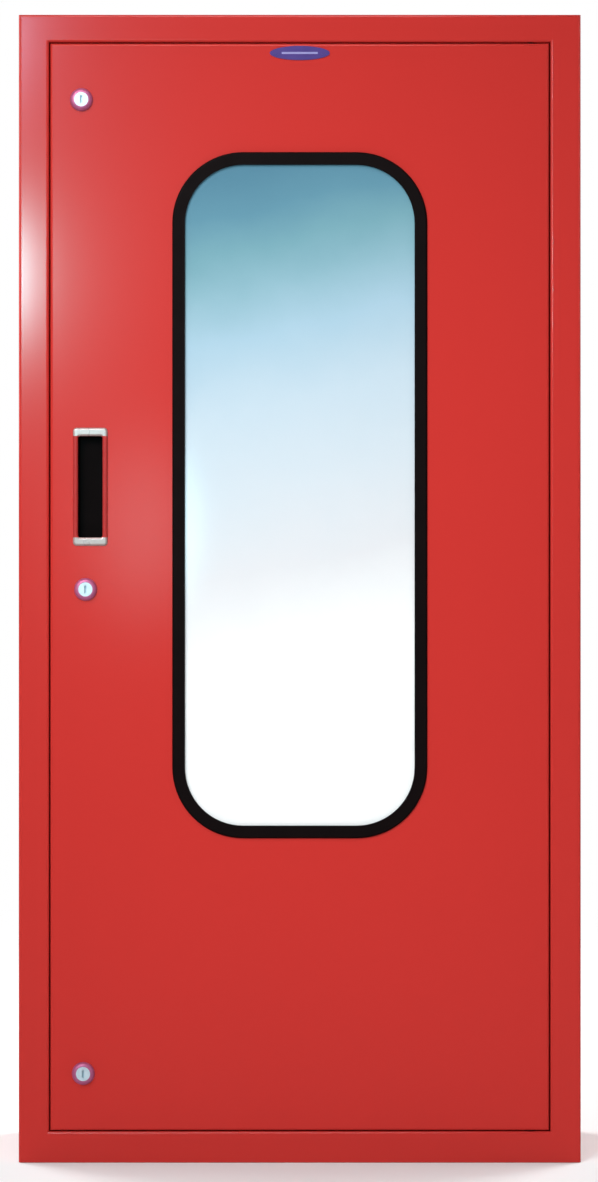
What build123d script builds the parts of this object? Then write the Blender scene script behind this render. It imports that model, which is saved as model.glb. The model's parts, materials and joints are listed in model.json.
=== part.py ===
"""Standpipe cabinet: a standing sheet-steel box, its glazed door and the hose valve inside.

Millimetres. X to the right, front toward -Y, Z up; the origin is the middle of the box's underside.
"""
import os

from build123d import *

os.makedirs("parts", exist_ok=True)

# ---------------------------------------------------------------- driving sizes
WIDTH = 600.0
HEIGHT = 1225.0
DEPTH = 240.0
SHEET = 2.0                 # box sheet
DOOR_SHEET = 1.5
BORDER_SIDE = 32.5          # front face beside, under and over the door opening
BORDER_LOW = 33.0
BORDER_TOP = 29.5
DOOR_GAP = 1.2
FOLD_R = 3.0                # outside radius of a folded edge
DOOR_THICK = 18.0

FRONT = -DEPTH / 2
BACK = DEPTH / 2
SIDE = WIDTH / 2
OPENING_X = SIDE - BORDER_SIDE          # half width of the door opening
OPENING_LOW = BORDER_LOW
OPENING_TOP = HEIGHT - BORDER_TOP
OPENING_MID = (OPENING_LOW + OPENING_TOP) / 2
DOOR_X = OPENING_X - DOOR_GAP           # half width of the door
DOOR_LOW = OPENING_LOW + DOOR_GAP
DOOR_TOP = OPENING_TOP - DOOR_GAP
DOOR_REAR = FRONT + DOOR_THICK

LIP_DEPTH = 24.0            # return behind the front border
STOP_WIDTH = 12.0           # inward return that the shut door meets
LIP_REAR = FRONT + LIP_DEPTH
SEAL_THICK = LIP_REAR - SHEET - DOOR_REAR

# hinge axis, measured from the door's right edge and from its front face
HINGE_X = DOOR_X - 20.0
HINGE_Y = FRONT + 8.0
HINGE_STOP_END = HINGE_X - 20.0         # the door's rear corner sweeps past beyond this
HINGE_PIN_R = 4.0
BUSH_R = 5.5
BUSH_FLANGE = 0.7
PIN_DEPTH = 13.0            # length of pin inside the door

WINDOW_Z = 712.0
GLASS_W = 245.0             # clear glass inside the rubber
GLASS_H = 705.0
GLASS_CORNER = 62.0
RUBBER_FACE = 13.5          # width of the rubber seen from the front
RUBBER_GRIP = 5.0           # how far the rubber laps the pane and the door skin
PANE_THICK = 5.0

LOCKS = {"upper": (-233.0, 1134.0), "middle": (-228.5, 611.5), "lower": (-231.0, 95.0)}
LOCK_HEAD_R = 12.25
LOCK_BARREL_R = 9.5
PLUG_R = 6.0
RUNNING = 0.05              # radial play of a turning piece in its hole
CAM_THICK = 3.0
CAM_FRONT = LIP_REAR + 1.0
CAM_REACH = 48.0
CAM_WIDTH = 16.0
CAM_SQUARE = 8.0

PULL_X = -223.5
PULL_Z = 721.0
PULL_W = 37.0
PULL_H = 126.0
PULL_OPEN_W = 26.0
PULL_OPEN_H = 108.0

LABEL_W = 64.0
LABEL_H = 15.0
LABEL_Z = DOOR_TOP - FOLD_R - LABEL_H / 2

VALVE_X = 120.0
VALVE_Y = 20.0
PIPE_R = 36.5               # 2 1/2 inch pipe
PIPE_BORE = 32.0
GROMMET_HOLE_R = 42.0
RISER_SOCKET_R = 38.2       # takes a 76.1 mm riser pipe
COUPLING_LOW = 8.0
COUPLING_MID = 40.0
COUPLING_TOP = 72.0
PIPE_TOP = 300.0
SEAT_Z = 345.0
OUTLET_Z = 367.0
BODY_TOP = 412.0
FLOW_R = 31.0
CHAMBER_R = 34.0
STEM_R = 9.0
WHEEL_Z = 478.0
WHEEL_R = 55.0
RIM_R = 7.0

SADDLE_X = -120.0
SADDLE_Z = 800.0
SADDLE_R = 80.0

FIXING_X = 240.0
FIXING_LOW = 100.0
FIXING_TOP = HEIGHT - 100.0
FIXING_R = 4.5


# ---------------------------------------------------------------- helpers
def block(x0, x1, y0, y1, z0, z1):
    """A box between two corners."""
    return Pos((x0 + x1) / 2, (y0 + y1) / 2, (z0 + z1) / 2) * Box(x1 - x0, y1 - y0, z1 - z0)


def rod_x(radius, x0, x1, y, z):
    return Pos((x0 + x1) / 2, y, z) * Rot(0, 90, 0) * Cylinder(radius, x1 - x0)


def rod_y(radius, y0, y1, x, z):
    return Pos(x, (y0 + y1) / 2, z) * Rot(90, 0, 0) * Cylinder(radius, y1 - y0)


def rod_z(radius, z0, z1, x, y):
    return Pos(x, y, (z0 + z1) / 2) * Cylinder(radius, z1 - z0)


def slab(outline, y0, y1, x, z):
    """A flat outline drawn as seen from the front, thick from y0 to y1."""
    drawing = Plane((x, y1, z), x_dir=(1, 0, 0), z_dir=(0, -1, 0))
    return extrude(drawing * outline, amount=y1 - y0)


def hex_y(flats, y0, y1, x, z):
    return slab(RegularPolygon(flats / 2, 6, major_radius=False), y0, y1, x, z)


def hex_z(flats, z0, z1, x, y):
    return extrude(Plane((x, y, z0)) * RegularPolygon(flats / 2, 6, major_radius=False), amount=z1 - z0)


def window_ring(grow):
    """The window's rounded outline, grown outward from the clear glass."""
    return RectangleRounded(GLASS_W + 2 * grow, GLASS_H + 2 * grow, GLASS_CORNER + grow)


def front_edges(shape, y):
    """Edges that lie in the plane at y."""
    flat = []
    for edge in shape.edges():
        box = edge.bounding_box()
        if abs(box.min.Y - y) < 0.01 and abs(box.max.Y - y) < 0.01:
            flat.append(edge)
    return flat


def folded_block(x0, x1, y0, y1, z0, z1):
    """A block with its front edges rounded like folded sheet, except one that stands at z = 0."""
    solid = block(x0, x1, y0, y1, z0, z1)
    raised = [edge for edge in front_edges(solid, y0) if edge.bounding_box().max.Z > 0]
    return fillet(raised, FOLD_R)


def save(node, *solids):
    """One STEP file for each node; a node of several loose pieces keeps them apart."""
    shape = solids[0] if len(solids) == 1 else Compound(children=list(solids))
    shape.label = node
    export_step(shape, f"parts/{node}.step")


# ---------------------------------------------------------------- the box
def flare(half, plane, reach):
    """A long slot as wide as the opening, whose rim spreads by the fold radius at the front."""
    rim = FRONT + FOLD_R
    outline = Polyline((-half - FOLD_R, FRONT), (-half - FOLD_R, FRONT - 1), (half + FOLD_R, FRONT - 1),
                       (half + FOLD_R, FRONT))
    outline += RadiusArc((half + FOLD_R, FRONT), (half, rim), FOLD_R)
    outline += Line((half, rim), (-half, rim))
    outline += RadiusArc((-half, rim), (-half - FOLD_R, FRONT), FOLD_R)
    return extrude(plane * make_face(outline), amount=reach, both=True)


LEVEL = Plane((0, 0, OPENING_MID))
UPRIGHT = Plane((0, 0, OPENING_MID), x_dir=(0, 0, 1), z_dir=(-1, 0, 0))
DOORWAY = flare(OPENING_X, LEVEL, HEIGHT) & flare(OPENING_TOP - OPENING_MID, UPRIGHT, WIDTH)
CASING = folded_block(-SIDE, SIDE, FRONT, BACK, 0, HEIGHT)


def folded(panel):
    """A panel with its outer front edges and the rim of the doorway rounded."""
    return (panel & CASING) - DOORWAY


def side_panel(hand):
    """Folded side: web, front border, return lip and, on the lock side, the door stop."""
    outer = hand * SIDE
    lip = hand * OPENING_X

    def upright(xa, xb, y0, y1, z0, z1):
        return block(min(xa, xb), max(xa, xb), y0, y1, z0, z1)

    panel = upright(outer, outer - hand * SHEET, FRONT, BACK - SHEET, 0, HEIGHT)
    panel += upright(outer, lip, FRONT, FRONT + SHEET, 0, HEIGHT)
    panel += upright(lip, lip + hand * SHEET, FRONT, LIP_REAR, OPENING_LOW, OPENING_TOP)
    if hand < 0:
        panel += upright(lip, lip - hand * STOP_WIDTH, LIP_REAR - SHEET, LIP_REAR, OPENING_LOW, OPENING_TOP)
    return folded(panel)


def end_panel(top):
    """Folded top or bottom, set between the sides."""
    up = 1 if top else -1
    outer = HEIGHT if top else 0.0
    lip = OPENING_TOP if top else OPENING_LOW

    def level(x0, x1, y0, y1, za, zb):
        return block(x0, x1, y0, y1, min(za, zb), max(za, zb))

    web_x = SIDE - SHEET
    panel = level(-web_x, web_x, FRONT + SHEET, BACK - SHEET, outer, outer - up * SHEET)
    panel += level(-OPENING_X, OPENING_X, FRONT, FRONT + SHEET, outer, lip)
    panel += level(-OPENING_X, OPENING_X, FRONT, LIP_REAR, lip, lip + up * SHEET)
    stop_start = -OPENING_X + STOP_WIDTH
    panel += level(stop_start, HINGE_STOP_END, LIP_REAR - SHEET, LIP_REAR, lip, lip - up * STOP_WIDTH)
    return folded(panel) - rod_z(HINGE_PIN_R, lip - SHEET - 1, lip + SHEET + 1, HINGE_X, HINGE_Y)


bottom = end_panel(False) - rod_z(GROMMET_HOLE_R, -1, SHEET + 1, VALVE_X, VALVE_Y)
save("left_side_panel", side_panel(-1))
save("right_side_panel", side_panel(1))
save("top_panel", end_panel(True))
save("bottom_panel", bottom)

back = block(-SIDE, SIDE, BACK - SHEET, BACK, 0, HEIGHT)
for fixing_x in (-FIXING_X, FIXING_X):
    for fixing_z in (FIXING_LOW, FIXING_TOP):
        back -= rod_y(FIXING_R, BACK - SHEET - 1, BACK + 1, fixing_x, fixing_z)
save("back_panel", back)


def door_seal():
    """Foam strip on the three door stops, one bent length."""
    front = LIP_REAR - SHEET - SEAL_THICK
    rear = LIP_REAR - SHEET
    left = -OPENING_X
    inner = left + STOP_WIDTH
    strip = block(left, inner, front, rear, OPENING_LOW, OPENING_TOP)
    strip += block(inner, HINGE_STOP_END, front, rear, OPENING_TOP - STOP_WIDTH, OPENING_TOP)
    strip += block(inner, HINGE_STOP_END, front, rear, OPENING_LOW, OPENING_LOW + STOP_WIDTH)
    return strip


save("door_seal", door_seal())


# ---------------------------------------------------------------- hinge
def hinge_end(top):
    """Pin, bush, washer and block of one end of the hinge axis."""
    up = 1 if top else -1
    lip = OPENING_TOP if top else OPENING_LOW
    edge = DOOR_TOP if top else DOOR_LOW

    def upright(radius, za, zb):
        return rod_z(radius, min(za, zb), max(za, zb), HINGE_X, HINGE_Y)

    pin_tip = edge - up * PIN_DEPTH
    pin = upright(HINGE_PIN_R, pin_tip, lip + up * SHEET)
    pin += upright(HINGE_PIN_R + 1.8, lip + up * SHEET, lip + up * (SHEET + 3))
    bush = upright(BUSH_R, pin_tip, edge) + upright(BUSH_R + 1, edge, edge + up * BUSH_FLANGE)
    bush -= upright(HINGE_PIN_R + RUNNING, pin_tip - up, edge + up * 2 * BUSH_FLANGE)
    washer = upright(BUSH_R + 1, edge + up * BUSH_FLANGE, lip)
    washer -= upright(HINGE_PIN_R + RUNNING, edge, lip + up)
    inside = edge - up * DOOR_SHEET
    far = edge - up * 26.0
    support = block(HINGE_X - 12, DOOR_X - DOOR_SHEET, FRONT + DOOR_SHEET, DOOR_REAR - DOOR_SHEET,
                    min(inside, far), max(inside, far))
    support -= upright(BUSH_R, pin_tip, edge)
    return pin, bush, washer, support


upper_hinge = hinge_end(True)
lower_hinge = hinge_end(False)
save("hinge_pins", upper_hinge[0], lower_hinge[0])
save("hinge_bushes", upper_hinge[1], lower_hinge[1])
save("hinge_washers", upper_hinge[2], lower_hinge[2])
save("hinge_blocks", upper_hinge[3], lower_hinge[3])

# ---------------------------------------------------------------- door
REAR_LIP = 15.0
PULL_STUD_Z = PULL_H / 2 - 2.6
PULL_STUD_R = 1.8
CUP_W = 30.0
CUP_H = 114.0
LABEL_RIVET_X = 25.0
LABEL_RIVET_R = 1.5


def door_pan():
    """Folded pan: skin, four sides and the narrow lips behind them, with its cut-outs."""
    pan = folded_block(-DOOR_X, DOOR_X, FRONT, DOOR_REAR, DOOR_LOW, DOOR_TOP)
    inner_x = DOOR_X - DOOR_SHEET
    pan -= block(-inner_x, inner_x, FRONT + DOOR_SHEET, DOOR_REAR - DOOR_SHEET,
                 DOOR_LOW + DOOR_SHEET, DOOR_TOP - DOOR_SHEET)
    pan -= block(-DOOR_X + REAR_LIP, DOOR_X - REAR_LIP, DOOR_REAR - DOOR_SHEET - 1, DOOR_REAR + 1,
                 DOOR_LOW + REAR_LIP, DOOR_TOP - REAR_LIP)
    skin = (FRONT - 1, FRONT + DOOR_SHEET + 1)
    pan -= slab(window_ring(RUBBER_FACE - RUBBER_GRIP), *skin, 0, WINDOW_Z)
    pan -= slab(RectangleRounded(CUP_W, CUP_H, 3), *skin, PULL_X, PULL_Z)
    for stud in (-PULL_STUD_Z, PULL_STUD_Z):
        pan -= rod_y(PULL_STUD_R, *skin, PULL_X, PULL_Z + stud)
    for spot in LOCKS.values():
        pan -= rod_y(LOCK_BARREL_R, *skin, *spot)
    for rivet in (-LABEL_RIVET_X, LABEL_RIVET_X):
        pan -= rod_y(LABEL_RIVET_R, *skin, rivet, LABEL_Z)
    pan -= rod_z(BUSH_R, DOOR_TOP - DOOR_SHEET - 1, DOOR_TOP + 1, HINGE_X, HINGE_Y)
    pan -= rod_z(BUSH_R, DOOR_LOW - 1, DOOR_LOW + DOOR_SHEET + 1, HINGE_X, HINGE_Y)
    return pan


save("door_pan", door_pan())


def stiffener(x):
    """Hat channel welded up the inside of the door skin."""
    front = FRONT + DOOR_SHEET
    low = DOOR_LOW + 30
    top = DOOR_TOP - 30
    channel = block(x - 15, x + 15, front, front + 12, low, top)
    channel -= block(x - 13.5, x + 13.5, front - 1, front + 10.5, low - 1, top + 1)
    return channel


save("door_stiffeners", stiffener(-172.0), stiffener(172.0))

# window: pane, H-section rubber and its locking strip
pane_front = FRONT
pane = slab(window_ring(RUBBER_GRIP), pane_front, pane_front + PANE_THICK, 0, WINDOW_Z)
save("window_pane", pane)

rubber_front = FRONT - 3.0
rubber_rear = FRONT + PANE_THICK + 3.0
STRIP_DEPTH = 1.5


def outline_band(inner, outer, y0, y1):
    band = slab(window_ring(outer), y0, y1, 0, WINDOW_Z)
    return band - slab(window_ring(inner), y0 - 1, y1 + 1, 0, WINDOW_Z)


rubber = slab(window_ring(RUBBER_FACE), rubber_front, rubber_rear, 0, WINDOW_Z)
rubber = fillet(front_edges(rubber, rubber_front), 2.0)
rubber -= slab(window_ring(0), rubber_front - 1, rubber_rear + 1, 0, WINDOW_Z)
rubber -= pane
rubber -= outline_band(RUBBER_FACE - RUBBER_GRIP, RUBBER_FACE + 5, FRONT, FRONT + DOOR_SHEET)
strip = outline_band(4.8, 8.8, rubber_front, rubber_front + STRIP_DEPTH)
rubber -= strip
save("window_gasket", rubber)
save("gasket_strip", strip)

# flush pull: rounded chrome frame, dark cup behind it, two nuts
PULL_ROUND = 2.3            # the frame's section is nearly half-round
pull_front = FRONT - 2.5
pull_frame = slab(RectangleRounded(PULL_W, PULL_H, 4), pull_front, FRONT, PULL_X, PULL_Z)
pull_frame -= slab(RectangleRounded(PULL_OPEN_W, PULL_OPEN_H, 2.5), pull_front - 1, FRONT + 1, PULL_X, PULL_Z)
pull_frame = fillet(front_edges(pull_frame, pull_front), PULL_ROUND)
flange_rear = FRONT + DOOR_SHEET + 1.5
cup_rear = FRONT + 15.0
cup = slab(RectangleRounded(CUP_W, CUP_H, 3), FRONT, cup_rear, PULL_X, PULL_Z)
cup += slab(RectangleRounded(PULL_W, PULL_H + 4, 3), FRONT + DOOR_SHEET, flange_rear, PULL_X, PULL_Z)
cup -= slab(RectangleRounded(CUP_W - 3, CUP_H - 3, 2), FRONT - 1, cup_rear - 1.5, PULL_X, PULL_Z)
pull_nuts = []
for stud in (-PULL_STUD_Z, PULL_STUD_Z):
    pull_frame += rod_y(PULL_STUD_R, FRONT, FRONT + 9, PULL_X, PULL_Z + stud)
    cup -= rod_y(PULL_STUD_R, FRONT, flange_rear + 1, PULL_X, PULL_Z + stud)
    nut = hex_y(5.5, flange_rear, flange_rear + 2.4, PULL_X, PULL_Z + stud)
    pull_nuts.append(nut - rod_y(PULL_STUD_R, flange_rear - 1, flange_rear + 4, PULL_X, PULL_Z + stud))
save("pull_frame", pull_frame)
save("pull_cup", cup)
save("pull_nuts", *pull_nuts)

# small oval plate above the window
label = slab(Ellipse(LABEL_W / 2, LABEL_H / 2), FRONT - 1, FRONT, 0, LABEL_Z)
label_rivets = []
for rivet in (-LABEL_RIVET_X, LABEL_RIVET_X):
    label -= rod_y(LABEL_RIVET_R, FRONT - 2, FRONT + 1, rivet, LABEL_Z)
    shank = rod_y(LABEL_RIVET_R, FRONT - 1, FRONT + DOOR_SHEET + 1, rivet, LABEL_Z)
    label_rivets.append(shank + rod_y(2.4, FRONT - 1.6, FRONT - 1, rivet, LABEL_Z))
save("label_plate", label)
save("label_rivets", *label_rivets)

# ---------------------------------------------------------------- locks
HEAD_THICK = 5.0
HEAD_ROUND = 4.5
COLLAR_R = 7.5
COLLAR_THICK = 2.0
lock_face = FRONT - HEAD_THICK
barrel_rear = CAM_FRONT - 0.1
cam_rear = CAM_FRONT + CAM_THICK


def lock_housing(x, z):
    head = rod_y(LOCK_HEAD_R, lock_face, FRONT, x, z)
    head = fillet(front_edges(head, lock_face), HEAD_ROUND)
    housing = head + rod_y(LOCK_BARREL_R, FRONT, barrel_rear, x, z)
    housing -= rod_y(PLUG_R + RUNNING, lock_face - 1, barrel_rear + 1, x, z)
    housing -= rod_y(COLLAR_R + RUNNING, lock_face - 1, lock_face + COLLAR_THICK, x, z)
    return housing


def lock_nut(x, z):
    front = FRONT + DOOR_SHEET
    nut = hex_y(24.0, front, front + 5, x, z)
    return nut - rod_y(LOCK_BARREL_R, front - 1, front + 6, x, z)


def lock_plug(x, z):
    """The turning core: collar, barrel, square tail, key slot and tapped end."""
    plug = rod_y(COLLAR_R, lock_face, lock_face + COLLAR_THICK, x, z)
    plug += rod_y(PLUG_R, lock_face, CAM_FRONT, x, z)
    half = CAM_SQUARE / 2
    plug += block(x - half, x + half, CAM_FRONT, cam_rear, z - half, z + half)
    plug -= block(x - 1.1, x + 1.1, lock_face - 1, lock_face + 4, z - 4, z + 4)
    plug -= rod_y(2.5, cam_rear - 12, cam_rear + 1, x, z)
    return plug


def lock_cam(x, z):
    """Flat latch arm, hanging down when the lock is open."""
    half = CAM_SQUARE / 2
    tip = z - CAM_REACH + CAM_WIDTH / 2
    arm = block(x - CAM_WIDTH / 2, x + CAM_WIDTH / 2, CAM_FRONT, cam_rear, tip, z)
    arm += rod_y(CAM_WIDTH / 2, CAM_FRONT, cam_rear, x, z)
    arm += rod_y(CAM_WIDTH / 2, CAM_FRONT, cam_rear, x, tip)
    arm -= block(x - half, x + half, CAM_FRONT - 1, cam_rear + 1, z - half, z + half)
    return arm


def cam_screw(x, z):
    return hex_y(12.0, cam_rear, cam_rear + 3.5, x, z) + rod_y(2.5, cam_rear - 12, cam_rear, x, z)


save("lock_housings", *[lock_housing(*spot) for spot in LOCKS.values()])
save("lock_nuts", *[lock_nut(*spot) for spot in LOCKS.values()])
for which, spot in LOCKS.items():
    save(f"{which}_lock_plug", lock_plug(*spot))
    save(f"{which}_lock_cam", lock_cam(*spot))
    save(f"{which}_cam_screw", cam_screw(*spot))


# ---------------------------------------------------------------- supply pipe and its clamp
def pipe_ring(outer, inner, z0, z1):
    return rod_z(outer, z0, z1, VALVE_X, VALVE_Y) - rod_z(inner, z0 - 1, z1 + 1, VALVE_X, VALVE_Y)


grommet = pipe_ring(GROMMET_HOLE_R + 4, RISER_SOCKET_R + 0.8, 0, SHEET + 3)
grommet -= pipe_ring(GROMMET_HOLE_R + 5, GROMMET_HOLE_R, -1, SHEET)
save("pipe_grommet", grommet)

coupling = rod_z(RISER_SOCKET_R + 8, COUPLING_LOW, COUPLING_TOP, VALVE_X, VALVE_Y)
coupling -= rod_z(RISER_SOCKET_R, COUPLING_LOW - 1, COUPLING_MID, VALVE_X, VALVE_Y)
coupling -= rod_z(PIPE_R, COUPLING_MID, COUPLING_TOP + 1, VALVE_X, VALVE_Y)
save("supply_coupling", coupling)
save("supply_pipe", pipe_ring(PIPE_R, PIPE_BORE, COUPLING_MID, PIPE_TOP))

CLAMP_Z = 180.0
ROD_R = 4.0
ROD_SPREAD = PIPE_R + ROD_R
saddle_front = VALVE_Y + PIPE_R
PLATE = 3.0


def pipe_bracket():
    """Hat-shaped stand-off between the back and the pipe."""
    low = CLAMP_Z - 20
    top = CLAMP_Z + 20
    back_in = BACK - SHEET
    bracket = block(VALVE_X - 60, VALVE_X + 60, saddle_front, saddle_front + PLATE, low, top)
    for hand in (-1, 1):
        leg = VALVE_X + hand * 60
        inner = leg - hand * PLATE
        foot = leg + hand * 22
        bracket += block(min(leg, inner), max(leg, inner), saddle_front, back_in, low, top)
        bracket += block(min(inner, foot), max(inner, foot), back_in - PLATE, back_in, low, top)
        leg_x = VALVE_X + hand * ROD_SPREAD
        bracket -= rod_y(ROD_R + 0.2, saddle_front - 1, saddle_front + PLATE + 1, leg_x, CLAMP_Z)
    return bracket


save("pipe_bracket", pipe_bracket())
bend = Torus(ROD_SPREAD, ROD_R, major_angle=180, align=None)
u_bolt = Pos(VALVE_X, VALVE_Y, CLAMP_Z) * Rot(0, 0, 180) * bend
clamp_nuts = []
for hand in (-1, 1):
    leg_x = VALVE_X + hand * ROD_SPREAD
    nut_front = saddle_front + PLATE
    u_bolt += rod_y(ROD_R, VALVE_Y, saddle_front + 18, leg_x, CLAMP_Z)
    nut = hex_y(13.0, nut_front, nut_front + 6.5, leg_x, CLAMP_Z)
    clamp_nuts.append(nut - rod_y(ROD_R, nut_front - 1, nut_front + 8, leg_x, CLAMP_Z))
save("u_bolt", u_bolt)
save("clamp_nuts", *clamp_nuts)

# ---------------------------------------------------------------- hose valve
OUTLET_FACE = VALVE_X - 105.0
OUTLET_THREAD_R = 38.0
OUTLET_THREAD = 32.0
SEAT_R = 27.0
SEAT_THICK = 10.0
BONNET_THICK = 12.0
BONNET_SPIGOT = 10.0
GLAND_LOW = BODY_TOP + 36.0
GLAND_TOP = GLAND_LOW + 16.0
PACKING_R = 16.0
PACKING_LOW = GLAND_LOW - 16.0
FLANGE_R = 56.0
FLANGE_BOLT_R = 4.0
FLANGE_BOLTS = 6


def flange_bolt_spots():
    spots = PolarLocations(FLANGE_R - 8, FLANGE_BOLTS, start_angle=30)
    return [(VALVE_X + spot.position.X, VALVE_Y + spot.position.Y) for spot in spots]


def valve_body():
    """Angle body: inlet below, outlet to the left, open neck above."""
    body = Pos(VALVE_X, VALVE_Y, OUTLET_Z) * Sphere(52)
    body += rod_z(46, PIPE_TOP - 25, SEAT_Z, VALVE_X, VALVE_Y)
    body += rod_z(46, SEAT_Z, BODY_TOP, VALVE_X, VALVE_Y)
    body += rod_z(FLANGE_R, BODY_TOP - 12, BODY_TOP, VALVE_X, VALVE_Y)
    body += rod_x(OUTLET_THREAD_R, OUTLET_FACE, VALVE_X, VALVE_Y, OUTLET_Z)
    body += rod_x(OUTLET_THREAD_R + 4, OUTLET_FACE + OUTLET_THREAD, VALVE_X, VALVE_Y, OUTLET_Z)
    body -= rod_z(PIPE_R, PIPE_TOP - 26, PIPE_TOP, VALVE_X, VALVE_Y)
    body -= rod_z(FLOW_R, PIPE_TOP - 1, SEAT_Z - SEAT_THICK, VALVE_X, VALVE_Y)
    body -= rod_z(SEAT_R, PIPE_TOP, SEAT_Z + 1, VALVE_X, VALVE_Y)
    body -= rod_z(CHAMBER_R, SEAT_Z, BODY_TOP + 20, VALVE_X, VALVE_Y)
    body -= rod_x(FLOW_R - 9, OUTLET_FACE - 1, VALVE_X, VALVE_Y, OUTLET_Z + 3)
    for x, y in flange_bolt_spots():
        body -= rod_z(FLANGE_BOLT_R, BODY_TOP - 13, BODY_TOP + 1, x, y)
    return body


save("valve_body", valve_body())

bonnet = rod_z(FLANGE_R, BODY_TOP, BODY_TOP + BONNET_THICK, VALVE_X, VALVE_Y)
bonnet += rod_z(CHAMBER_R, BODY_TOP - BONNET_SPIGOT, BODY_TOP, VALVE_X, VALVE_Y)
bonnet += rod_z(24, BODY_TOP + BONNET_THICK, GLAND_LOW, VALVE_X, VALVE_Y)
bonnet -= rod_z(STEM_R + RUNNING, BODY_TOP - 20, GLAND_TOP, VALVE_X, VALVE_Y)
bonnet -= rod_z(PACKING_R, PACKING_LOW, GLAND_LOW + 1, VALVE_X, VALVE_Y)
flange_bolts = []
for x, y in flange_bolt_spots():
    bonnet -= rod_z(FLANGE_BOLT_R, BODY_TOP - 1, BODY_TOP + BONNET_THICK + 1, x, y)
    head_low = BODY_TOP + BONNET_THICK
    bolt = rod_z(FLANGE_BOLT_R, BODY_TOP - 12, head_low, x, y) + hex_z(12.0, head_low, head_low + 5.5, x, y)
    flange_bolts.append(bolt)
save("valve_bonnet", bonnet)
save("bonnet_bolts", *flange_bolts)
save("stem_packing", pipe_ring(PACKING_R, STEM_R + RUNNING, PACKING_LOW, GLAND_LOW - 6))
gland = hex_z(40.0, GLAND_LOW, GLAND_TOP, VALVE_X, VALVE_Y)
gland += rod_z(PACKING_R, GLAND_LOW - 6, GLAND_LOW, VALVE_X, VALVE_Y)
gland -= rod_z(STEM_R + RUNNING, GLAND_LOW - 10, GLAND_TOP + 1, VALVE_X, VALVE_Y)
save("gland_nut", gland)

DISC_THICK = 12.0
DISC_HUB = 12.0
disc = rod_z(CHAMBER_R - 4, SEAT_Z, SEAT_Z + DISC_THICK, VALVE_X, VALVE_Y)
disc += rod_z(15, SEAT_Z + DISC_THICK, SEAT_Z + DISC_THICK + DISC_HUB, VALVE_X, VALVE_Y)
disc -= rod_z(STEM_R + RUNNING, SEAT_Z + DISC_THICK, SEAT_Z + 40, VALVE_X, VALVE_Y)
save("valve_disc", disc)

HUB_R = 16.0
HUB_HALF = 8.0
hub_low = WHEEL_Z - HUB_HALF
hub_top = WHEEL_Z + HUB_HALF
SPINDLE_R = 6.0
stem = rod_z(STEM_R, SEAT_Z + DISC_THICK, hub_low, VALVE_X, VALVE_Y)
stem += rod_z(SPINDLE_R, hub_low, hub_top + 12, VALVE_X, VALVE_Y)
save("valve_stem", stem)


def handwheel():
    wheel = Pos(VALVE_X, VALVE_Y, WHEEL_Z) * Torus(WHEEL_R, RIM_R)
    wheel += rod_z(HUB_R, hub_low, hub_top, VALVE_X, VALVE_Y)
    for spoke in range(5):
        arm = Pos((WHEEL_R + HUB_R) / 2 - 2, 0, 0) * Box(WHEEL_R - HUB_R + 4, 11, 7)
        wheel += Pos(VALVE_X, VALVE_Y, WHEEL_Z) * Rot(0, 0, 72 * spoke) * arm
    return wheel - rod_z(SPINDLE_R, hub_low - 1, hub_top + 1, VALVE_X, VALVE_Y)


save("handwheel", handwheel())
wheel_nut = hex_z(19.0, hub_top, hub_top + 8, VALVE_X, VALVE_Y)
save("handwheel_nut", wheel_nut - rod_z(SPINDLE_R, hub_top - 1, hub_top + 9, VALVE_X, VALVE_Y))

# ---------------------------------------------------------------- hose saddle on the back
SADDLE_SHEET = 2.5
SADDLE_FRONT = 12.0
saddle_rear = BACK - SHEET
STUD_X = 85.0
STUD_Z = 25.0
STUD_R = 4.0


def hose_saddle():
    """Half-round shelf with a raised front rim and a back plate."""
    shelf = rod_y(SADDLE_R, SADDLE_FRONT, saddle_rear - PLATE, SADDLE_X, SADDLE_Z)
    shelf += rod_y(SADDLE_R + 22, SADDLE_FRONT, SADDLE_FRONT + SADDLE_SHEET, SADDLE_X, SADDLE_Z)
    shelf -= rod_y(SADDLE_R - SADDLE_SHEET, SADDLE_FRONT - 1, saddle_rear, SADDLE_X, SADDLE_Z)
    below = block(SADDLE_X - 200, SADDLE_X + 200, SADDLE_FRONT - 1, saddle_rear, SADDLE_Z - 200, SADDLE_Z)
    shelf -= below
    plate_front = saddle_rear - PLATE
    plate = block(SADDLE_X - 105, SADDLE_X + 105, plate_front, saddle_rear, SADDLE_Z - 45, SADDLE_Z + 90)
    return shelf + plate


saddle = hose_saddle()
saddle_studs = []
saddle_nuts = []
for stud_x in (SADDLE_X - STUD_X, SADDLE_X + STUD_X):
    for stud_z in (SADDLE_Z - STUD_Z, SADDLE_Z + 65):
        nut_rear = saddle_rear - PLATE
        saddle -= rod_y(STUD_R, nut_rear - 1, saddle_rear + 1, stud_x, stud_z)
        saddle_studs.append(rod_y(STUD_R, saddle_rear - 16, saddle_rear, stud_x, stud_z))
        nut = hex_y(13.0, nut_rear - 6.5, nut_rear, stud_x, stud_z)
        saddle_nuts.append(nut - rod_y(STUD_R, nut_rear - 8, nut_rear + 1, stud_x, stud_z))
save("hose_saddle", saddle)
save("saddle_studs", *saddle_studs)
save("saddle_nuts", *saddle_nuts)
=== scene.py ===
"""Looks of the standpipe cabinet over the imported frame: finishes, the outlet's thread, studio, camera."""
import json
import math

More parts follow.
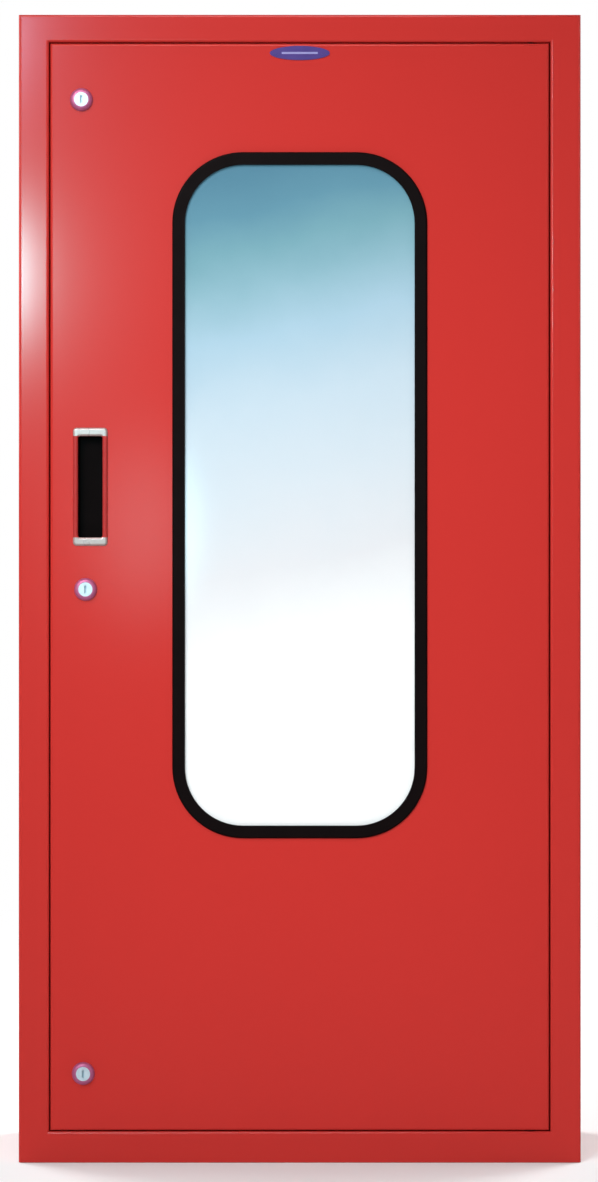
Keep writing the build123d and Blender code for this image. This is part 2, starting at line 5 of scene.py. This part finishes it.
import bmesh
import bpy
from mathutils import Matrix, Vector


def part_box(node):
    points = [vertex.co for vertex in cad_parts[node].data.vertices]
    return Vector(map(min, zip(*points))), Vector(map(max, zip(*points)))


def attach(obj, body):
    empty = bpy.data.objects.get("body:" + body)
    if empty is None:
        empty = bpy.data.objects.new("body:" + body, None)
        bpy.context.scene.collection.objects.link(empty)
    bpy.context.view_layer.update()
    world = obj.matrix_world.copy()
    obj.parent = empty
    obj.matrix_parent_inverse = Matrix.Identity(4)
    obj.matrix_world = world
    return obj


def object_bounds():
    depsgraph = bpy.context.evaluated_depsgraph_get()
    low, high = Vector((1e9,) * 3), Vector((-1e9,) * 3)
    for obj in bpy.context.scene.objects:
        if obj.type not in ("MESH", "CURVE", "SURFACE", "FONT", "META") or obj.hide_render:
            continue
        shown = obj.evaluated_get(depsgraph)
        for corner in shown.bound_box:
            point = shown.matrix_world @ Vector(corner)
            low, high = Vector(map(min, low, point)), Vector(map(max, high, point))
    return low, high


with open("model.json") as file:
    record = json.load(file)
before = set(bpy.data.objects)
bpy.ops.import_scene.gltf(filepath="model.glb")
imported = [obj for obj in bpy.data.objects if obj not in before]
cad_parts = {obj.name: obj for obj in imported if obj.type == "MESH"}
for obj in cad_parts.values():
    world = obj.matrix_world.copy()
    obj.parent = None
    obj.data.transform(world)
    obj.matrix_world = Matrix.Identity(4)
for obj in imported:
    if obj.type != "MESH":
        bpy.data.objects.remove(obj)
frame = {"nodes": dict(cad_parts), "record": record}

CAD_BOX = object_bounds()
MM = 0.001

# ---------------------------------------------------------------- colours
# Red, green and blue in the scene's linear light. A pair holds the two ends that a finish wanders between.
PAINT = ((0.525, 0.0285, 0.0235), (0.545, 0.0300, 0.0245))
CAST_PAINT = ((0.30, 0.012, 0.010), (0.38, 0.02, 0.016))
RUBBER = ((0.0032, 0.0012, 0.0014), (0.007, 0.003, 0.003))
FOAM = ((0.010, 0.010, 0.011), (0.03, 0.03, 0.032))
# The pull's pink plating and its dark red rails are painted reflections of the red door.
PULL_PLATING_PINK_REFLECTION = ((0.44, 0.33, 0.31), (0.52, 0.40, 0.38))
PULL_RAIL_RED_REFLECTION = (0.40, 0.030, 0.028)
# The lock heads' pale blue-white is painted highlight and painted sky reflection over grey metal; the
# collars' violet-red is a painted reflection of the red door.
LOCK_HEAD_PAINTED_HIGHLIGHT = ((0.56, 0.64, 0.71), (0.66, 0.74, 0.80))
LOCK_COLLAR_RED_REFLECTION = ((0.44, 0.09, 0.20), (0.54, 0.13, 0.27))
ZINC = ((0.42, 0.44, 0.47), (0.55, 0.54, 0.50))
GALVANISED = ((0.34, 0.36, 0.38), (0.50, 0.52, 0.54))
BRASS = ((0.70, 0.42, 0.14), (0.48, 0.27, 0.10))
BLACK_PLASTIC = ((0.0022, 0.0010, 0.0010), (0.005, 0.0024, 0.0024))
BLUE_ENAMEL = ((0.060, 0.032, 0.170), (0.085, 0.045, 0.215))
PALE_LINE = (0.30, 0.26, 0.50)
STUDIO_WHITE = ((0.80, 0.80, 0.80), (0.83, 0.83, 0.83))
WHITE = (1.0, 1.0, 1.0)

# Painted sky reflection on the glass: height on the pane as a share of its length, and the display colour
# there in 8-bit values.
GLASS_SKY_REFLECTION = (
    (0.25, (252, 246, 244)), (0.40, (224, 220, 222)), (0.52, (210, 215, 221)),
    (0.64, (195, 208, 218)), (0.75, (168, 194, 209)), (0.82, (143, 178, 190)),
    (0.88, (118, 161, 172)), (0.94, (97, 142, 160)), (1.00, (86, 130, 150)),
)

DOOR_GLOSS = 0.32
CASING_GLOSS = 0.56


def linear(display_colour):
    """Linear-light colour of an 8-bit sRGB display colour."""
    def channel(value):
        value /= 255.0
        return value / 12.92 if value <= 0.04045 else ((value + 0.055) / 1.055) ** 2.4
    return tuple(channel(value) for value in display_colour)


# ---------------------------------------------------------------- shader helpers
class Shader:
    """A Principled material and the few nodes that its texture needs."""

    def __init__(self, name):
        self.material = bpy.data.materials.new(name)
        self.material.use_nodes = True
        self.nodes = self.material.node_tree.nodes
        self.links = self.material.node_tree.links
        self.surface = self.nodes["Principled BSDF"]
        self.place = self.nodes.new("ShaderNodeTexCoord").outputs["Object"]

    # What the surface takes.
    def set(self, **values):
        for label, value in values.items():
            self.surface.inputs[label.replace("_", " ").title()].default_value = value

    def specular(self, level):
        self.surface.inputs["Specular IOR Level"].default_value = level

    def link(self, source, label):
        self.links.new(source, self.surface.inputs[label])

    def coloured(self, factor, colours):
        self.link(self.blend(factor, *colours), "Base Color")

    def rough(self, factor, low, high):
        self.link(self.ranged(factor, low, high), "Roughness")

    def bump(self, height, strength, distance):
        node = self.nodes.new("ShaderNodeBump")
        node.inputs["Strength"].default_value = strength
        node.inputs["Distance"].default_value = distance
        self.links.new(height, node.inputs["Height"])
        self.link(node.outputs["Normal"], "Normal")

    # Patterns, all in the piece's own coordinates.
    def axis(self, letter):
        node = self.nodes.new("ShaderNodeSeparateXYZ")
        self.links.new(self.place, node.inputs["Vector"])
        return node.outputs[letter]

    def squeezed(self, z):
        """Coordinates scaled along Z: less than 1 draws a pattern out upright, more than 1 lays it flat."""
        mapping = self.nodes.new("ShaderNodeMapping")
        mapping.inputs["Scale"].default_value = (1.0, 1.0, z)
        self.links.new(self.place, mapping.inputs["Vector"])
        return mapping.outputs["Vector"]

    def noise(self, scale, detail=3.0, roughness=0.5, vector=None):
        node = self.nodes.new("ShaderNodeTexNoise")
        node.inputs["Scale"].default_value = scale
        node.inputs["Detail"].default_value = detail
        node.inputs["Roughness"].default_value = roughness
        self.links.new(vector or self.place, node.inputs["Vector"])
        return node.outputs["Fac"]

    def cells(self, scale):
        node = self.nodes.new("ShaderNodeTexVoronoi")
        node.inputs["Scale"].default_value = scale
        self.links.new(self.place, node.inputs["Vector"])
        return node.outputs["Color"]

    # Sums and mixes of patterns.
    def math(self, operation, first, second=None):
        node = self.nodes.new("ShaderNodeMath")
        node.operation = operation
        for socket, value in zip(node.inputs, (first, second)):
            if value is None:
                continue
            if isinstance(value, (int, float)):
                socket.default_value = value
            else:
                self.links.new(value, socket)
        return node.outputs["Value"]

    def ranged(self, source, low, high, from_low=0.0, from_high=1.0):
        node = self.nodes.new("ShaderNodeMapRange")
        node.inputs["From Min"].default_value = from_low
        node.inputs["From Max"].default_value = from_high
        node.inputs["To Min"].default_value = low
        node.inputs["To Max"].default_value = high
        self.links.new(source, node.inputs["Value"])
        return node.outputs["Result"]

    def blend(self, factor, colour_a, colour_b):
        """Mix of two colours, each either three numbers or another node's output."""
        node = self.nodes.new("ShaderNodeMix")
        node.data_type = "RGBA"
        factor_socket, colour_sockets, result = node.inputs[0], node.inputs[6:8], node.outputs[2]
        for socket, colour in zip(colour_sockets, (colour_a, colour_b)):
            if isinstance(colour, tuple):
                socket.default_value = (*colour, 1.0)
            else:
                self.links.new(colour, socket)
        self.links.new(factor, factor_socket)
        return result

    def ramp(self, factor, stops):
        node = self.nodes.new("ShaderNodeValToRGB")
        ladder = node.color_ramp.elements
        while len(ladder) < len(stops):
            ladder.new(0.5)
        for rung, (position, colour) in zip(ladder, stops):
            rung.position = position
            rung.color = (*colour, 1.0)
        self.links.new(factor, node.inputs["Fac"])
        return node.outputs["Color"]


# ---------------------------------------------------------------- materials
def red_paint(name, gloss):
    """Sprayed enamel under a clear gloss: faint orange peel and slow, slight changes of tone."""
    shader = Shader(name)
    shader.coloured(shader.noise(scale=3.0, detail=2.0), PAINT)
    shader.rough(shader.noise(scale=9.0, detail=4.0), low=0.19, high=0.24)
    shader.specular(0.06)
    shader.set(coat_weight=gloss, coat_roughness=0.11)
    shader.bump(shader.noise(scale=170.0, detail=2.0), strength=0.03, distance=0.4 * MM)
    return shader.material


def cast_paint():
    """Satin paint over a rough casting."""
    shader = Shader("cast_paint")
    shader.coloured(shader.noise(scale=14.0), CAST_PAINT)
    shader.rough(shader.noise(scale=30.0), low=0.38, high=0.52)
    shader.bump(shader.noise(scale=420.0, detail=4.0), strength=0.25, distance=0.5 * MM)
    return shader.material


def rubber():
    """Extruded black rubber with a dull bloom."""
    shader = Shader("black_rubber")
    shader.coloured(shader.noise(scale=25.0, detail=4.0), RUBBER)
    shader.rough(shader.noise(scale=60.0), low=0.42, high=0.6)
    shader.specular(0.04)
    shader.bump(shader.noise(scale=900.0), strength=0.12, distance=0.2 * MM)
    return shader.material


def foam():
    """Dull closed-cell foam."""
    shader = Shader("foam_seal")
    shader.coloured(shader.noise(scale=80.0, detail=4.0), FOAM)
    shader.set(roughness=0.9)
    shader.bump(shader.noise(scale=1400.0), strength=0.6, distance=0.4 * MM)
    return shader.material


def pull_trim():
    """Plated ends on the pull's frame, tinted pink as a painted reflection of the red door, with side rails
    coloured dark red as a painted reflection of the door.
    """
    end_height, edge_blur = 9.0 * MM, 0.3 * MM
    shader = Shader("pull_trim")
    low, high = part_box("pull_frame")
    rail_half = (high[2] - low[2]) / 2 - end_height
    from_middle = shader.math("SUBTRACT", shader.axis("Z"), (low[2] + high[2]) / 2)
    past_rail = shader.math("SUBTRACT", shader.math("ABSOLUTE", from_middle), rail_half)
    plated = shader.ranged(past_rail, 0.0, 1.0, from_high=edge_blur)
    wipe = shader.noise(scale=90.0, detail=4.0, vector=shader.squeezed(z=0.3))
    shader.coloured(plated, (PULL_RAIL_RED_REFLECTION, shader.blend(wipe, *PULL_PLATING_PINK_REFLECTION)))
    shader.link(shader.ranged(plated, low=0.0, high=0.4), "Metallic")
    shader.rough(wipe, low=0.24, high=0.32)
    shader.specular(0.12)
    shader.bump(wipe, strength=0.01, distance=0.1 * MM)
    return shader.material


def satin_metal(name, colours):
    """Satin metal dulled by handling, so that it gathers light from all sides; the colours given to it here
    hold painted highlight and painted reflection.
    """
    shader = Shader(name)
    wipe = shader.noise(scale=140.0)
    shader.coloured(wipe, colours)
    shader.set(metallic=0.35)
    shader.rough(wipe, low=0.36, high=0.46)
    shader.bump(wipe, strength=0.02, distance=0.1 * MM)
    return shader.material


def zinc():
    """Zinc-plated steel: fine drawn lines and a faint yellow-blue cast."""
    shader = Shader("zinc_steel")
    lines = shader.noise(scale=260.0, vector=shader.squeezed(z=9.0))
    shader.coloured(shader.noise(scale=30.0), ZINC)
    shader.set(metallic=1.0)
    shader.rough(lines, low=0.26, high=0.44)
    shader.bump(lines, strength=0.06, distance=0.2 * MM)
    return shader.material


def galvanised():
    """Hot-dip spangle on the pipe."""
    shader = Shader("galvanised")
    spangle = shader.cells(scale=95.0)
    shader.coloured(spangle, GALVANISED)
    shader.set(metallic=0.9)
    shader.rough(spangle, low=0.38, high=0.6)
    shader.bump(shader.noise(scale=300.0, detail=4.0), strength=0.12, distance=0.3 * MM)
    return shader.material


def brass():
    """Rough-cast brass, a little tarnished."""
    shader = Shader("cast_brass")
    tarnish = shader.noise(scale=28.0, detail=5.0, roughness=0.6)
    shader.coloured(tarnish, BRASS)
    shader.set(metallic=1.0)
    shader.rough(tarnish, low=0.26, high=0.5)
    shader.bump(shader.noise(scale=380.0, detail=4.0), strength=0.2, distance=0.4 * MM)
    return shader.material


def black_plastic():
    """Moulded black plastic with a fine grain."""
    shader = Shader("black_plastic")
    shader.coloured(shader.noise(scale=50.0), BLACK_PLASTIC)
    shader.rough(shader.noise(scale=90.0), low=0.35, high=0.5)
    shader.specular(0.02)
    shader.bump(shader.noise(scale=1100.0, detail=2.0), strength=0.1, distance=0.2 * MM)
    return shader.material


def glass_with_painted_reflection():
    """Glass whose colour holds a painted sky reflection, steel blue at the top and clear white low down."""
    slant, streak_reach, cloud_reach = 0.32, 0.012, 0.022
    shader = Shader("window_glass")
    low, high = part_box("window_pane")
    level = shader.ranged(shader.axis("Z"), 0.0, 1.0, from_low=low[2], from_high=high[2])
    # Streaks, clouds and the slant across the pane shift the painted reflection's gradient.
    streak = shader.noise(scale=2.2, detail=2.0, vector=shader.squeezed(z=0.25))
    cloud = shader.noise(scale=15.0, detail=4.0)
    level = shader.math("ADD", level, shader.ranged(streak, -streak_reach, streak_reach))
    level = shader.math("ADD", level, shader.ranged(cloud, -cloud_reach, cloud_reach))
    level = shader.math("SUBTRACT", level, shader.math("MULTIPLY", shader.axis("X"), slant))
    stops = [(height, linear(tint)) for height, tint in GLASS_SKY_REFLECTION]
    shader.link(shader.ramp(level, stops), "Base Color")
    shader.set(coat_weight=1.0, coat_roughness=0.02)
    shader.rough(shader.noise(scale=6.0), low=0.05, high=0.09)
    shader.bump(shader.noise(scale=5.0, detail=1.0), strength=0.03, distance=1.0 * MM)
    return shader.material


def blue_enamel():
    """Violet-blue plate with one plain pale line along its middle."""
    line_share_of_height, line_share_of_length = 0.14, 0.60
    shader = Shader("blue_enamel")
    low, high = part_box("label_plate")
    half_line = (high[2] - low[2]) * line_share_of_height / 2
    half_length = (high[0] - low[0]) * line_share_of_length / 2
    from_middle = shader.math("SUBTRACT", shader.axis("Z"), (low[2] + high[2]) / 2)
    in_line = shader.math("LESS_THAN", shader.math("ABSOLUTE", from_middle), half_line)
    in_length = shader.math("LESS_THAN", shader.math("ABSOLUTE", shader.axis("X")), half_length)
    line = shader.math("MULTIPLY", in_line, in_length)
    blue = shader.blend(shader.noise(scale=60.0), *BLUE_ENAMEL)
    shader.coloured(line, (blue, PALE_LINE))
    shader.set(roughness=0.35)
    shader.specular(0.15)
    shader.bump(shader.noise(scale=300.0), strength=0.04, distance=0.2 * MM)
    return shader.material


FINISHES = {
    "red_paint": red_paint("red_paint", DOOR_GLOSS),
    "casing_paint": red_paint("casing_paint", CASING_GLOSS),
    "valve_paint": cast_paint(),
    "black_rubber": rubber(),
    "window_glass": glass_with_painted_reflection(),
    "pull_trim": pull_trim(),
    "lock_head": satin_metal("lock_head", LOCK_HEAD_PAINTED_HIGHLIGHT),
    "lock_collar": satin_metal("lock_collar", LOCK_COLLAR_RED_REFLECTION),
    "zinc_steel": zinc(),
    "galvanised": galvanised(),
    "brass": brass(),
    "black_plastic": black_plastic(),
    "blue_enamel": blue_enamel(),
    "foam": foam(),
}

# A piece has the finish that its slot in the record names, unless the photograph shows a finer distinction.
FINISH_OF = {entry["node"]: entry["material_slot"] for entry in frame["record"]["subparts"]}
FINISH_OF.update({
    "left_side_panel": "casing_paint",
    "right_side_panel": "casing_paint",
    "top_panel": "casing_paint",
    "bottom_panel": "casing_paint",
    # The lock heads' and collars' finishes hold painted highlight and painted reflection.
    "upper_lock_plug": "lock_head",
    "middle_lock_plug": "lock_head",
    "lower_lock_plug": "lock_head",
    "lock_housings": "lock_collar",
    # The pull frame's finish holds a painted reflection of the red door.
    "pull_frame": "pull_trim",
    "label_rivets": "blue_enamel",
})
for node, finish in FINISH_OF.items():
    mesh = frame["nodes"][node].data
    mesh.materials.clear()
    mesh.materials.append(FINISHES[finish])


# ---------------------------------------------------------------- hose thread on the valve
def thread_section(crest_radius, root_radius, pitch):
    """Ridge's outline as (distance along the axis, radius) points."""
    root_half, crest_half = 0.42 * pitch, 0.12 * pitch
    return (
        (-root_half, root_radius), (-crest_half, crest_radius),
        (crest_half, crest_radius), (root_half, root_radius),
    )


def outlet_thread():
    """One ridge wound round the plain end of the valve's outlet, fading out at both ends."""
    spigot_radius, ridge_height, sunk = 38.0 * MM, 1.1 * MM, 0.2 * MM
    pitch, turns, steps_per_turn = 3.4 * MM, 8, 72
    first_turn_in = 0.9 * pitch
    height_at_ends = 0.05
    mounts = {mount["name"]: mount for mount in frame["record"]["mounts"]}
    face_x, axis_y, axis_z = mounts["hose_outlet"]["pos_m"]
    root = spigot_radius - sunk
    build = bmesh.new()
    sections = []
    for step in range(turns * steps_per_turn + 1):
        turn = step / steps_per_turn
        angle = 2 * math.pi * turn
        share_of_height = min(1.0, turn + height_at_ends, turns - turn + height_at_ends)
        crest = root + (ridge_height + sunk) * share_of_height
        middle = face_x + first_turn_in + turn * pitch
        sections.append([
            build.verts.new((middle + along, axis_y + out * math.cos(angle), axis_z + out * math.sin(angle)))
            for along, out in thread_section(crest, root, pitch)
        ])
    for near, far in zip(sections, sections[1:]):
        for corner in range(len(near)):
            build.faces.new((near[corner - 1], near[corner], far[corner], far[corner - 1]))
    build.faces.new(sections[0])
    build.faces.new(sections[-1])
    bmesh.ops.recalc_face_normals(build, faces=build.faces)
    mesh = bpy.data.meshes.new("outlet_thread")
    build.to_mesh(mesh)
    build.free()
    mesh.materials.append(FINISHES["brass"])
    thread = bpy.data.objects.new("outlet_thread", mesh)
    bpy.context.scene.collection.objects.link(thread)
    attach(thread, "cabinet")


outlet_thread()


# ---------------------------------------------------------------- studio
def add_light(data, place, target, power, colour):
    data.energy = power
    data.color = colour
    light = bpy.data.objects.new(data.name, data)
    light.location = place
    light.rotation_euler = (Vector(target) - Vector(place)).to_track_quat("-Z", "Y").to_euler()
    light.visible_camera = False
    bpy.context.scene.collection.objects.link(light)


def soft_light(name, place, target, width, height, power, colour=WHITE):
    data = bpy.data.lights.new(name, "AREA")
    data.shape = "RECTANGLE"
    data.size = width
    data.size_y = height
    add_light(data, place, target, power, colour)


def glow_light(name, place, target, width, height, power, colour):
    """A soft box that is brightest in its middle and fades to nothing at its edge."""
    soft_light(name, place, target, width, height, power, colour)
    middle, middle_to_edge = (0.5, 0.5, 0.0), 0.5
    tree = bpy.data.lights[name]
    tree.use_nodes = True
    nodes, links = tree.node_tree.nodes, tree.node_tree.links
    offset = nodes.new("ShaderNodeVectorMath")
    offset.operation = "DISTANCE"
    offset.inputs[1].default_value = middle
    links.new(nodes.new("ShaderNodeNewGeometry").outputs["Parametric"], offset.inputs[0])
    fade = nodes.new("ShaderNodeMapRange")
    fade.interpolation_type = "SMOOTHSTEP"
    fade.inputs["From Max"].default_value = middle_to_edge
    fade.inputs["To Min"].default_value = 1.0
    fade.inputs["To Max"].default_value = 0.0
    links.new(offset.outputs["Value"], fade.inputs["Value"])
    links.new(fade.outputs["Result"], nodes["Emission"].inputs["Strength"])


def spot_light(name, place, target, cone, fade, radius, power):
    data = bpy.data.lights.new(name, "SPOT")
    data.spot_size = math.radians(cone)
    data.spot_blend = fade
    data.shadow_soft_size = radius
    add_light(data, place, target, power, WHITE)


def studio_floor():
    """Round pale floor that fades out into the white studio around it."""
    radius, fade_from, sides = 3.2, 1.2, 96
    below_cabinet, own_light = 0.5 * MM, 0.11
    build = bmesh.new()
    bmesh.ops.create_circle(build, cap_ends=True, radius=radius, segments=sides)
    bmesh.ops.translate(build, verts=build.verts, vec=(0.0, 0.0, -below_cabinet))
    mesh = bpy.data.meshes.new("studio_floor")
    build.to_mesh(mesh)
    build.free()
    floor = bpy.data.objects.new("studio_floor", mesh)
    bpy.context.scene.collection.objects.link(floor)
    shader = Shader("studio_white")
    shader.coloured(shader.noise(scale=1.5), STUDIO_WHITE)
    from_middle = shader.nodes.new("ShaderNodeVectorMath")
    from_middle.operation = "LENGTH"
    shader.links.new(shader.place, from_middle.inputs[0])
    cover = shader.ranged(from_middle.outputs["Value"], 1.0, 0.0, from_low=fade_from, from_high=radius)
    cover.node.interpolation_type = "SMOOTHSTEP"
    shader.link(cover, "Alpha")
    shader.set(roughness=0.9, emission_color=(*WHITE, 1.0), emission_strength=own_light)
    mesh.materials.append(shader.material)
    floor.visible_glossy = False      # it lights the cabinet but isn't mirrored in its paint


def sky():
    """White all round to look at, but dim as a source of light."""
    strength_as_light, strength_to_look_at = 0.10, 1.0
    world = bpy.data.worlds.new("studio_sky")
    world.use_nodes = True
    tree = world.node_tree
    looked_at = tree.nodes.new("ShaderNodeLightPath").outputs["Is Camera Ray"]
    strength = tree.nodes.new("ShaderNodeMapRange")
    strength.inputs["To Min"].default_value = strength_as_light
    strength.inputs["To Max"].default_value = strength_to_look_at
    tree.links.new(looked_at, strength.inputs["Value"])
    background = tree.nodes["Background"]
    background.inputs["Color"].default_value = (*WHITE, 1.0)
    tree.links.new(strength.outputs["Result"], background.inputs["Strength"])
    bpy.context.scene.world = world


studio_floor()
sky()
(left, front, bottom), (right, _, top) = CAD_BOX
middle_z = (bottom + top) / 2
middle = (0.0, front, middle_z)

# Main light from the front left. The others here fill its shadows, low_fill those at the bottom.
spot_light("key_light", (-1.2, -2.9, 2.3), (-0.03, front, 0.78),
           cone=24.0, fade=0.7, radius=0.45, power=265.0)
soft_light("high_light", (-0.3, -2.2, 3.0), (-0.1, front, 0.8), width=1.2, height=1.2, power=27.0)
soft_light("left_fill", (-1.9, -2.6, 1.9), middle, width=1.4, height=1.6, power=22.0)
soft_light("right_fill", (1.9, -2.6, 1.9), middle, width=1.4, height=1.6, power=4.0)
spot_light("low_fill", (1.4, -2.9, 0.5), (-0.03, front, 0.17),
           cone=10.0, fade=1.0, radius=0.3, power=68.0)

# Small cool lights that the paint's left side mirrors as a soft sheen.
glow_light("edge_glow", (-0.61, -3.1, 1.20), (left, front, 0.95),
           width=0.16, height=0.30, power=60.0, colour=(0.42, 0.95, 1.0))
glow_light("edge_strip", (-0.63, -3.1, 1.68), (left, front, 1.2),
           width=0.12, height=0.5, power=34.0, colour=(0.5, 0.75, 1.0))
glow_light("near_glow", (-0.29, -3.1, 0.73), (-0.18, front, 0.68),
           width=0.28, height=0.5, power=4.2, colour=(0.5, 0.95, 1.0))

# Lights for the sides and the back.
soft_light("side_light_left", (-3.0, 1.0, 1.6), (left, 0.0, 0.7), width=1.5, height=1.5, power=32.0)
soft_light("side_light_right", (3.0, 1.0, 1.6), (right, 0.0, 0.7), width=1.5, height=1.5, power=32.0)
soft_light("rear_fill_left", (-2.4, 2.4, 4.2), (0.0, 1.0, 0.2), width=1.6, height=1.6, power=130.0)
soft_light("rear_fill_right", (2.4, 2.4, 4.2), (0.0, 1.0, 0.2), width=1.6, height=1.6, power=130.0)

# ---------------------------------------------------------------- camera
CABINET_SHARE = 0.97124      # of the picture's height, which the cabinet fills
DISTANCE = 4.0               # metres from the door to the camera
SENSOR = 36.0                # millimetres
SHIFT_LEFT = 0.8 * MM        # where the camera stands from the cabinet's middle
SHIFT_DOWN = 2.7 * MM

camera_data = bpy.data.cameras.new("camera")
view_height = (top - bottom) / CABINET_SHARE
camera_data.sensor_width = SENSOR
camera_data.lens = SENSOR * DISTANCE / view_height
camera_data.clip_end = 100.0
camera = bpy.data.objects.new("camera", camera_data)
camera.location = (-SHIFT_LEFT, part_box("door_pan")[0][1] - DISTANCE, middle_z - SHIFT_DOWN)
camera.rotation_euler = (math.radians(90), 0, 0)
bpy.context.scene.collection.objects.link(camera)
bpy.context.scene.camera = camera
bpy.context.scene.view_settings.view_transform = "Standard"
